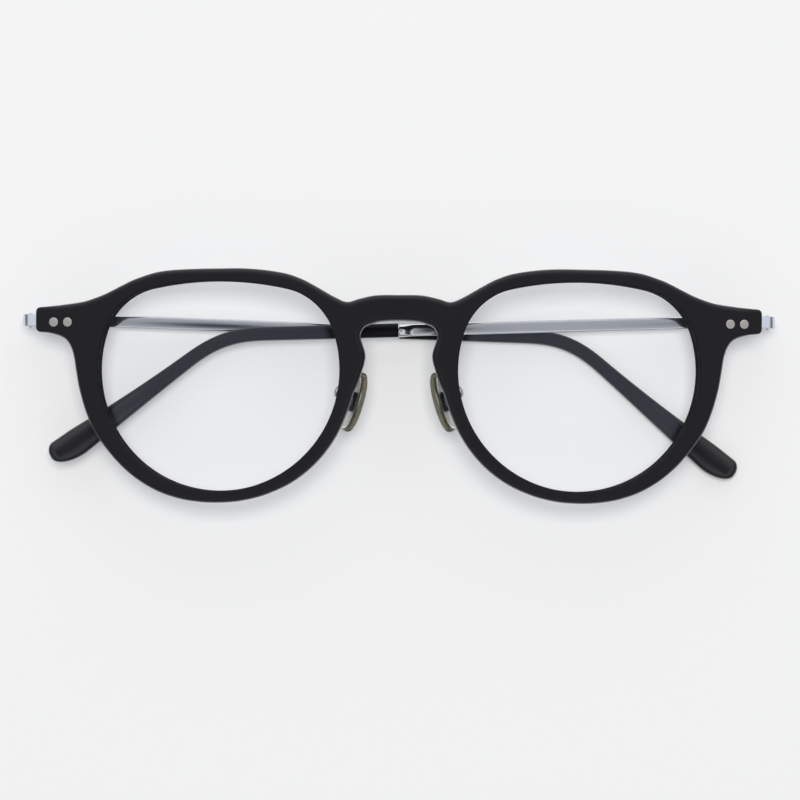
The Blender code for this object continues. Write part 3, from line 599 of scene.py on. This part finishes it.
def roundedBar(halfWide, halfHigh, corner, perCorner=4):
    # the outline of a bar's section, anticlockwise, with rounded corners
    points = []
    for start, (x, y) in zip((0, 90, 180, 270), ((1, 1), (-1, 1), (-1, -1), (1, -1))):
        for i in range(perCorner + 1):
            angle = math.radians(start + 90 * i / perCorner)
            points.append((x * (halfWide - corner) + corner * math.cos(angle),
                           y * (halfHigh - corner) + corner * math.sin(angle)))
    return points


def buildRivets(name, side):
    end = backDown - plate["clearance"] - plate["thickness"]
    radius, edge = rivet["radius"], rivet["edge"]
    shank, headUnder = rivet["shank"], faceUp - rivet["head"]
    for number, which in enumerate(("outer", "inner")):
        profile = [(0, end), (shank - edge, end), (shank, end + edge), (shank, headUnder), (radius, headUnder),
                   (radius, faceUp)]
        for share in (0.985, 0.94, 0.88, 0.75, 0.6, 0.45, 0.3, 0.15, 0):
            drop = edge * max(0.0, (share - 0.88) / 0.12) ** 2
            profile.append((radius * share, faceUp + rivet["crown"] * (1 - 0.35 * share**2) - drop))
        bm = turned(profile, 40, (0, 0, 1))
        fromMiddle = bm.verts.layers.float.new("fromMiddle")
        for vert in bm.verts:
            vert[fromMiddle] = min(1.0, vert.co.xy.length / radius)
        x = endSide - rivet["inset"] - number * rivet["spacing"]
        moved(bm, bentPlace(side * x, hingeLine - rivet["drop"], 0))
        finishPiece(f"{name}{which.title()}Rivet", bm, rivetFinish, "front", f"rivet_{name}_{which}")


def hingeOf(name):
    return Matrix.Translation(Vector(joints[name + "_temple_hinge"]["pos_m"]) / mm)


def barrel(low, high):
    edge, radius = hinge["edge"], hinge["radius"]
    soft = edge * hinge["roundness"]
    return turned([(0, low), (radius - edge, low), (radius - soft, low + soft), (radius, low + edge),
                   (radius, high - edge), (radius - soft, high - soft), (radius - edge, high), (0, high)])


def bore(radius, low, high, steps=32, axis=(0, 1, 0)):
    return turned([(0, low), (radius, low), (radius, high), (0, high)], steps, axis)


def buildEndPlate(name, side):
    place = hingeOf(name)
    wallX, hingeZ = abs(place.translation.x) + hinge["radius"] - 0.003, place.translation.z
    corner = bent((endSide, hingeLine, backDown - plate["clearance"] - metalHalf))
    along = Vector((math.cos(endLean), 0, -math.sin(endLean)))
    radius = plate["bendRadius"] + metalHalf
    turn = math.pi / 2 - endLean
    meeting = corner + along * ((wallX - corner.x) / along.x)
    tangent = radius * math.tan(turn / 2)
    start, leave = corner - along * plate["length"], meeting - along * tangent
    edge = plate["edge"]
    # stations: middle, way out of the strip's upper face, shrink at the rounded end
    soft = edge * hinge["roundness"]
    path = [(start, endLean, edge), (start + along * soft, endLean, soft), (start + along * edge, endLean, 0)]
    path += [(start + (leave - start) * share, endLean, 0) for share in (0.3, 0.6, 1.0)]
    centre = Vector((wallX - radius, hingeLine, meeting.z - tangent))
    for i in range(1, 13):
        angle = endLean + turn * i / 12
        path.append((centre + Vector((math.sin(angle), 0, math.cos(angle))) * radius, angle, 0))
    path.append((Vector((wallX, hingeLine, hingeZ + hinge["butt"])), math.pi / 2, 0))
    rings = []
    for middle, lean, drawnIn in path:
        up = Vector((math.sin(lean), 0, math.cos(lean)))
        section = roundedBar(metalHalf - drawnIn, plate["height"] / 2 - drawnIn, max(edge - drawnIn, 0.02))
        rings.append([middle + up * thick + Vector((0, high, 0)) for thick, high in section])
    bm = moved(loft(rings), Matrix.Diagonal((side, 1, 1, 1)))
    half, gap = hinge["height"] / 2, hinge["middle"] / 2 + hinge["washer"] + 2 * hinge["play"]
    bm = combined(bm, moved(bore(hinge["radius"] + hinge["turnPlay"], -gap, gap), place), "DIFFERENCE")
    for low, high in ((gap, half), (-half, -gap)):
        bm = combined(bm, moved(barrel(low, high), place))
    neck, head = hinge["screw"] + hinge["bore"], hinge["screwHead"] + hinge["bore"]
    screw = [(0, -half - 1), (neck, -half - 1), (neck, half - hinge["headHeight"]), (head, half),
             (head, half + 1), (0, half + 1)]
    bm = combined(bm, moved(turned(screw, 40), place), "DIFFERENCE")
    finishPiece(name + "EndPlate", bm, hingeTitanium, "front", "end_plate_" + name)


def buildHinge(name):
    place = hingeOf(name)
    half, head, neck = hinge["height"] / 2, hinge["screwHead"], hinge["screw"]
    profile = [(0, -half), (neck - 0.06, -half), (neck, 0.06 - half), (neck, half - hinge["headHeight"]),
               (head - 0.03, half - 0.05), (head - 0.06, half), (0, half)]
    bm = combined(turned(profile, 40), block((-hinge["slot"] / 2, half - hinge["headHeight"] / 2, -1),
                                             (hinge["slot"] / 2, half + 1, 1)), "DIFFERENCE")
    finishPiece(name + "HingeScrew", moved(bm, place), hingeTitanium, "front", "hinge_screw_" + name)
    middle = (hinge["middle"] + hinge["washer"]) / 2 + hinge["play"]
    inner, outer, thin = hinge["screw"] + hinge["bore"], hinge["radius"], hinge["washer"] / 2
    for where, sign in (("upper", 1), ("lower", -1)):
        low, high, soft = sign * middle - thin, sign * middle + thin, 0.02
        bm = turned([(inner, low), (outer - soft, low), (outer, low + soft), (outer, high - soft),
                     (outer - soft, high), (inner, high), (inner, low)], 40)
        finishPiece(f"{name}{where.title()}Washer", moved(bm, place), washerFinish, "front",
                    f"hinge_washer_{name}_{where}")


for name, side in sides.items():
    buildRivets(name, side)
    buildEndPlate(name, side)
    buildHinge(name)
print("rivets, end plates and hinge screws made")


temple = dict(length=146.0, slope={1: 1.7, -1: 1.9}, bendStart={1: 94.9, -1: 93.9},
              bendDrop={1: 36.7, -1: 40.2}, bendLength=18.0, bendEase=4.0, tipCurve=1.6, stackGap=0.5,
              solidTip=3.0,
              barLength=70.6, barHeight=2.4, barRise=0.45, barCorner=0.24, barCrown=0.055, barEnd=0.12,
              collarLength=3.0, collarHeight=2.7, collarThickness=2.2, collarSoft=0.45, collarCrown=3,
              coreHeight=1.3, coreThickness=0.8, coreLength=48.0, coreClearance=0.1,
              tipEnd=144.9, tipThickness=2.95, thickenOver=22.0, tipFront=1.35, tipBack=2.7, tipBulge=0.22,
              flareStart=110.0, flareEnd=138.5, flarePower=1.6, endRounding=(1.9, 6.0, 1.5),
              polishStart=118.0, polishOver=14.0)

stack = (temple["solidTip"] + plate["thickness"]) / 2 + temple["stackGap"]


def walkTemple(side):
    # (along, down, inward, heading) of the middle line at each millimetre from the hinge
    start, stations = temple["bendStart"][side], []
    along, down = 0.0, -temple["barRise"]
    for distance in range(round(temple["length"]) + 1):
        share = min(1.0, max(0.0, (distance - start) / temple["bendLength"]))
        past = max(0.0, distance - start) / (temple["length"] - start)
        drop = temple["bendDrop"][side] * (3 * share**2 - 2 * share**3) - temple["bendEase"] * past
        heading = math.radians(temple["slope"][side] + drop)
        stations.append(Vector((along, down, temple["tipCurve"] * past**2, heading)))
        along += math.cos(heading)
        down += math.sin(heading)
    return stations


templeLines = {side: walkTemple(side) for side in sides.values()}


def templeRing(side, distance, section, upper, lower, thickness):
    # a cross-section of the folded temple; the section's points are (up, out) from -1 to 1
    line = templeLines[side]
    i = min(len(line) - 2, int(distance))
    along, down, inward, heading = line[i].lerp(line[i + 1], distance - i)
    points = []
    for up, out in section:
        y = up * (upper if up > 0 else lower)
        points.append(Vector((-side * (along + y * math.sin(heading)), -down + y * math.cos(heading),
                              -hinge["radius"] + inward + out * thickness / 2)))
    return points


def softSection(power, count):
    # a rounded rectangle's points, each coordinate from -1 to 1
    points = []
    for i in range(count):
        angle = math.tau * (i + 0.5) / count
        x, y = math.cos(angle), math.sin(angle)
        points.append((math.copysign(abs(x) ** (2 / power), x), math.copysign(abs(y) ** (2 / power), y)))
    return points


def barSection(high, thick, corner, crown, steps=8):
    # a rounded rectangle's (up, out) points in millimetres, with slightly crowned broad faces
    points = []
    half, deep = high / 2, thick / 2
    for start, (up, out) in zip((0, 90, 180, 270), ((1, 1), (-1, 1), (-1, -1), (1, -1))):
        for i in range(6):
            angle = math.radians(start + 18 * i)
            points.append((up * (half - corner) + corner * math.cos(angle),
                           out * (deep - corner) + corner * math.sin(angle)))
        if start in (0, 180):
            points += [(up * (half - corner) * (1 - 2 * i / steps), out * deep) for i in range(1, steps)]
    return [(up, out - math.copysign(crown * (up / half) ** 2, out)) for up, out in points]


def templePlace(name):
    place = hingeOf(name)
    tilt = math.asin(stack / (2 * abs(place.translation.x)))
    return place @ Matrix.Rotation(tilt, 4, "Y")


def buildBar(name, side):
    place = templePlace(name)
    end, flare = temple["barLength"], temple["collarLength"]
    stations = [0, 0.08] + [4 + 2.9 * i for i in range(22)]
    stations += [end - flare * share for share in (1, 0.8, 0.6, 0.4, 0.2, 0.06, 0)]
    rings = []
    for distance in stations:
        grown = min(1.0, max(0.0, (distance - end + flare) / (flare * 0.9)))
        grown = grown * grown * (3 - 2 * grown)
        high = temple["barHeight"] + (temple["collarHeight"] - temple["barHeight"]) * grown
        thick = plate["thickness"] + (temple["collarThickness"] - plate["thickness"]) * grown
        if distance in (0, end):
            high, thick = high - temple["barEnd"], thick - temple["barEnd"]
        section = barSection(high, thick, temple["barCorner"] + temple["collarSoft"] * grown,
                             temple["barCrown"] * (1 + temple["collarCrown"] * grown))
        rings.append(templeRing(side, distance, section, 1, 1, 2))
    bm = loft(rings)
    half, gap = hinge["height"] / 2, hinge["middle"] / 2
    for low, high in ((gap, 2 * half), (-2 * half, -gap)):
        bm = combined(bm, bore(hinge["radius"] + hinge["turnPlay"], low, high), "DIFFERENCE")
    bm = combined(bm, barrel(-gap, gap))
    bm = combined(bm, bore(hinge["screw"] + hinge["bore"], -half, half), "DIFFERENCE")
    core = [end - 0.5 + (temple["coreLength"] + 0.5) * i / 26 for i in range(27)]
    wire = [templeRing(side, distance, softSection(3, 16), temple["coreHeight"] / 2, temple["coreHeight"] / 2,
                       temple["coreThickness"]) for distance in core]
    bm = combined(bm, loft(wire))
    finishPiece(name + "TempleBar", moved(bm, place), barTitanium[side], name + "_temple",
                "temple_bar_" + name)


def tipSize(distance):
    # half heights above and below the middle line, and the thickness
    grown = min(1.0, (distance - temple["barLength"]) / temple["thickenOver"])
    thickness = temple["collarThickness"] + (temple["tipThickness"] - temple["collarThickness"]) * grown
    flare = (distance - temple["flareStart"]) / (temple["flareEnd"] - temple["flareStart"])
    widened = min(1.0, max(0.0, flare)) ** temple["flarePower"]
    half = temple["tipFront"] + (temple["tipBack"] - temple["tipFront"]) * widened
    bulge = temple["tipBulge"] * widened
    left = temple["tipEnd"] - distance
    upper, lower, flat = (math.sqrt(max(0.0, 1 - max(0.0, 1 - left / reach) ** 2))
                          for reach in temple["endRounding"])
    return (half - bulge) * upper, (half + bulge) * lower, thickness * max(0.04, flat)


def buildTip(name, side):
    start, length = temple["barLength"] + temple["coreClearance"], temple["tipEnd"]
    stations = [start, start + 0.05, start + 0.16] + [start + 2 + 2.0 * i for i in range(11)]
    stations += [temple["bendStart"][side] + i for i in range(0, 26)]
    last = stations[-1]
    reach = max(temple["endRounding"])
    stations += [last + (length - reach - last) * i / 12 for i in range(1, 13)]
    stations += [length - reach * (1 - math.sin(math.pi / 2 * i / 22)) for i in range(1, 23)]
    stations[-1] = length - 0.003
    rings = []
    for distance in stations:
        upper, lower, thickness = tipSize(distance)
        drawnIn = {start: 0.14, start + 0.05: 0.05}.get(distance, 0)
        rings.append(templeRing(side, distance, softSection(2.9, 48), upper - drawnIn, lower - drawnIn,
                                thickness - 2 * drawnIn))
    bm = loft(rings)
    polish = bm.verts.layers.float.new("polish")
    for vert in bm.verts:
        vert[polish] = min(1.0, max(0.0, (abs(vert.co.x) - temple["polishStart"]) / temple["polishOver"]))
    finishPiece(name + "TempleTip", moved(bm, templePlace(name)), tipAcetate, name + "_temple",
                "temple_tip_" + name)


for name, side in sides.items():
    buildBar(name, side)
    buildTip(name, side)
print("temples made")


pad = dict(length=11.8, width=6.4, thickness=2.1, faceRise=0.6, inset=2.1, drop=3.0, setBack=5.0,
           splay=28.0, tilt=16.0, edge=0.08, tabEdge=0.06, screwSlot=0.18,
           plateLength=10.5, plateWidth=5.3, plateThickness=0.5, tabWidth=0.8, tabRadius=0.8, tabReach=1.3,
           clearance=0.08, boxWall=0.5, boxHeight=4.0, screw=0.4, screwHead=0.65, screwHeadHeight=0.3)
arm = dict(radius=0.5, footRadius=1.1, footDepth=1.2, footRise=1.5, footInset=1.9, flange=0.3, leave=2.6,
           arrive=3.2, sway=0.8, footEdge=0.08)
padPivot = pad["thickness"] / 2 + pad["tabReach"]


def pivotPlace(side):
    # origin on the rocking axis: -x faces the nose on the +X side, y runs up the pad, z to its front edge
    x = side * (lensCentre - lens["width"] / 2 - pad["inset"])
    place = Matrix.Translation(bent((x, -pad["drop"], backDown - pad["setBack"])))
    tilt = Matrix.Rotation(math.radians(side * pad["tilt"]), 4, "Z")
    splay = Matrix.Rotation(math.radians(-side * pad["splay"]), 4, "Y")
    return place @ tilt @ splay @ Matrix.Translation((side * padPivot, 0, 0))


def ovalRing(side, x, length, width, power=2.3, count=56):
    return [Vector((side * (x - padPivot), long * length / 2, wide * width / 2))
            for long, wide in softSection(power, count)]


def buildPad(name, side):
    place, half, fit = pivotPlace(side), pad["thickness"] / 2, pad["clearance"]
    length, width = pad["length"], pad["width"]
    rings = []
    for i in range(1, 10):                               # domed face against the nose
        turn = math.pi / 2 * i / 9
        share = math.sin(turn) ** 0.7
        rise = pad["faceRise"] * math.cos(turn) ** 0.8 if i < 9 else 0.0
        rings.append(ovalRing(side, -rise, length * share, width * share))
    for x, share in ((0.35, 0.995), (0.6, 0.975), (0.8, 0.945), (0.93, 0.91), (1.0, 0.875)):
        rings.append(ovalRing(side, half * x, length * share, width * share))
    seat = half - pad["plateThickness"] - fit
    recess = (pad["plateLength"] + 2 * fit, pad["plateWidth"] + 2 * fit)
    rings.append(ovalRing(side, half, recess[0] + 0.1, recess[1] + 0.1))
    rings.append(ovalRing(side, half - 0.05, *recess))
    rings.append(ovalRing(side, seat, *recess))
    bm = loft(rings)
    finishPiece(name + "NosePad", moved(bm, place), padFinish, name + "_nose_pad", "nose_pad_" + name)
    edge = pad["edge"]
    soft = edge * hinge["roundness"]
    seat = half - pad["plateThickness"]
    rings = [ovalRing(side, x, pad["plateLength"] - 2 * inset, pad["plateWidth"] - 2 * inset)
             for x, inset in ((seat, edge), (seat + edge, 0), (half - edge, 0), (half - soft, soft),
                              (half, edge))]
    tab, radius, edge = pad["tabWidth"] / 2, pad["tabRadius"], pad["tabEdge"]
    low = half - padPivot - pad["plateThickness"] / 2
    stem = block((min(side * low, 0), -radius, -tab), (max(side * low, 0), radius, tab))
    eye = turned([(0, -tab), (radius - edge, -tab), (radius, edge - tab), (radius, tab - edge),
                  (radius - edge, tab), (0, tab)], 32, (0, 0, 1))
    bm = combined(combined(loft(rings), stem), eye)
    hole = pad["screw"] + hinge["bore"]
    bm = combined(bm, bore(hole, -1, 1, 24, (0, 0, 1)), "DIFFERENCE")
    finishPiece(name + "PadPlate", moved(bm, place), plateTitanium, name + "_nose_pad", "pad_core_" + name)


def wireRings(control, radius, steps=20, count=20):
    points = []
    for i in range(steps + 1):
        t = i / steps
        a, b, c, d = control
        points.append(a * (1 - t)**3 + b * (3 * t * (1 - t)**2) + c * (3 * t**2 * (1 - t)) + d * t**3)
    rings, across = [], Vector((0, 1, 0))
    for i, point in enumerate(points):
        run = (points[min(i + 1, steps)] - points[max(i - 1, 0)]).normalized()
        across = (across - run * across.dot(run)).normalized()
        other = run.cross(across)
        turns = [math.tau * k / count for k in range(count)]
        rings.append([point + (across * math.cos(turn) + other * math.sin(turn)) * radius for turn in turns])
    return rings


def buildPadArm(name, side):
    pivot = pivotPlace(side)
    slotHalf = pad["tabWidth"] / 2 + pad["clearance"]
    cheek, reach = slotHalf + pad["boxWall"], pad["tabRadius"] + pad["clearance"]
    ends = sorted((-side * pad["tabRadius"], side * (reach + pad["boxWall"])))
    bm = block((ends[0], -pad["boxHeight"] / 2, -cheek), (ends[1], pad["boxHeight"] / 2, cheek), 0.12)
    ends = sorted((-side, side * reach))
    gap = block((ends[0], -pad["boxHeight"], -slotHalf), (ends[1], pad["boxHeight"], slotHalf))
    bm = combined(bm, gap, "DIFFERENCE")
    hole = pad["screw"] + hinge["bore"]
    bm = combined(bm, bore(hole, -2 * cheek, 2 * cheek, 24, (0, 0, 1)), "DIFFERENCE")
    finishPiece(name + "PadBox", moved(bm, pivot), boxTitaniumPaintedShade, "front", "pad_arm_" + name)
    inner = lensCentre - lens["width"] / 2 - arm["footInset"]
    foot = bentPlace(side * inner, arm["footRise"], backDown)
    control = [foot @ Vector((0, 0, arm["flange"])), foot @ Vector((0, 0, -arm["leave"])),
               pivot @ Vector((side * (reach + arm["arrive"]), arm["sway"], 0)),
               pivot @ Vector((side * (reach + pad["boxWall"] / 2), 0, 0))]
    bm = loft(wireRings(control, arm["radius"]))
    wide, edge = arm["footRadius"], arm["footEdge"]
    disc = turned([(0, -arm["flange"]), (wide - edge, -arm["flange"]), (wide, edge - arm["flange"]),
                   (wide, arm["footDepth"]), (0, arm["footDepth"])], 32, (0, 0, 1))
    bm = combined(bm, moved(disc, foot))
    finishPiece(name + "PadArm", bm, armTitanium, "front", "pad_arm_" + name)
    shank, head = cheek + hinge["bore"], pad["screwHead"]
    top = -shank - pad["screwHeadHeight"]
    profile = [(0, cheek), (pad["screw"], cheek), (pad["screw"], -shank), (head, -shank), (head, top + edge),
               (head - edge, top), (0, top)]
    bm = turned(profile, 32, (0, 0, 1))
    slot = pad["screwSlot"] / 2
    bm = combined(bm, block((-1, -slot, top - 1), (1, slot, top + pad["screwHeadHeight"] / 2)), "DIFFERENCE")
    finishPiece(name + "PadScrew", moved(bm, pivot), armTitanium, "front", "pad_screw_" + name)


for name, side in sides.items():
    buildPad(name, side)
    buildPadArm(name, side)
print("nose pads and their arms made")


# how bright the room is at each angle from straight up
room = {0: 0.01, 4.4: 0.01, 5.2: 0.50, 12: 0.54, 17: 0.95, 43: 0.95, 60: 0.4, 75: 0.12, 90: 0.06}
# farSide is what the room adds towards +Y, over the range farFrom; onMatt is its share on matt surfaces
studio = dict(tableSize=6.0, tableColor=(0.80, 0.80, 0.80), tableGlow=(0.165, 0.17, 0.175),
              keyPower=6.1, keySize=(0.34, 0.30), keyPlace=(0.0, 0.12, 1.1), keyColor=(1.02, 1.0, 0.975),
              roomColor=(0.95, 0.97, 1.0), farSide=0.9, farFrom=(0.25, 0.9), onMatt=0.50,
              cameraPlace=(0.25, -2.54), cameraAbove=600.0, viewWide=151.7, cameraTurn=0.19)


def buildStudio():
    bm = bmesh.new()
    bmesh.ops.create_grid(bm, x_segments=8, y_segments=8, size=studio["tableSize"] / 2)
    mesh = bpy.data.meshes.new("table")
    bm.to_mesh(mesh)
    bm.free()
    table = bpy.data.objects.new("table", mesh)
    bpy.context.scene.collection.objects.link(table)
    paper = Finish("paleTable")
    paper.set(Base_Color=(*studio["tableColor"], 1), Roughness=0.75, Specular_IOR_Level=0.0,
              Emission_Color=(*studio["tableGlow"], 1), Emission_Strength=1.0)
    mesh.materials.append(paper.material)

    key = bpy.data.lights.new("keyLight", "AREA")
    key.shape, key.size, key.size_y, key.energy = "RECTANGLE", *studio["keySize"], studio["keyPower"]
    key.color = studio["keyColor"]
    lamp = bpy.data.objects.new("keyLight", key)
    lamp.location = studio["keyPlace"]
    lamp.rotation_euler = (-Vector(studio["keyPlace"])).to_track_quat("-Z", "Y").to_euler()
    lamp.visible_glossy = False
    bpy.context.scene.collection.objects.link(lamp)

    world = bpy.data.worlds.new("softRoom")
    world.use_nodes = True
    bpy.context.scene.world = world
    sky = Wiring(world.node_tree)
    background = sky.tree.nodes["Background"]
    direction = sky.node("TexCoord", output="Generated")
    far, up = (sky.node("SeparateXYZ", values={"Vector": direction}, output=axis) for axis in (1, 2))
    ramp = sky.tree.nodes.new("ShaderNodeValToRGB")
    ramp.color_ramp.interpolation = "LINEAR"
    levels = sorted((math.cos(math.radians(angle)), level) for angle, level in room.items())
    while len(ramp.color_ramp.elements) < len(levels):
        ramp.color_ramp.elements.new(0.5)
    for element, (place, level) in zip(ramp.color_ramp.elements, levels):
        element.position, element.color = place, (level, level, level, 1)
    sky.feed(ramp.inputs["Fac"], up)
    onMatt = sky.node("LightPath", output="Is Diffuse Ray")
    strength = Signal(sky, ramp.outputs["Color"]) + far.between(*studio["farFrom"]) * studio["farSide"]
    sky.feed(background.inputs["Strength"], strength * (1 - onMatt * (1 - studio["onMatt"])))
    background.inputs["Color"].default_value = (*studio["roomColor"], 1)

    camera = bpy.data.cameras.new("camera")
    camera.sensor_width = 36
    camera.lens = camera.sensor_width * studio["cameraAbove"] / studio["viewWide"]
    camera.clip_start, camera.clip_end = 0.01, 20
    eye = bpy.data.objects.new("camera", camera)
    x, y = studio["cameraPlace"]
    eye.location = Vector((x, y, frontHeight + studio["cameraAbove"])) * mm
    eye.rotation_euler.z = math.radians(studio["cameraTurn"])
    bpy.context.scene.collection.objects.link(eye)
    bpy.context.scene.camera = eye
    bpy.context.scene.view_settings.view_transform = "Standard"


buildStudio()
print("studio lit")
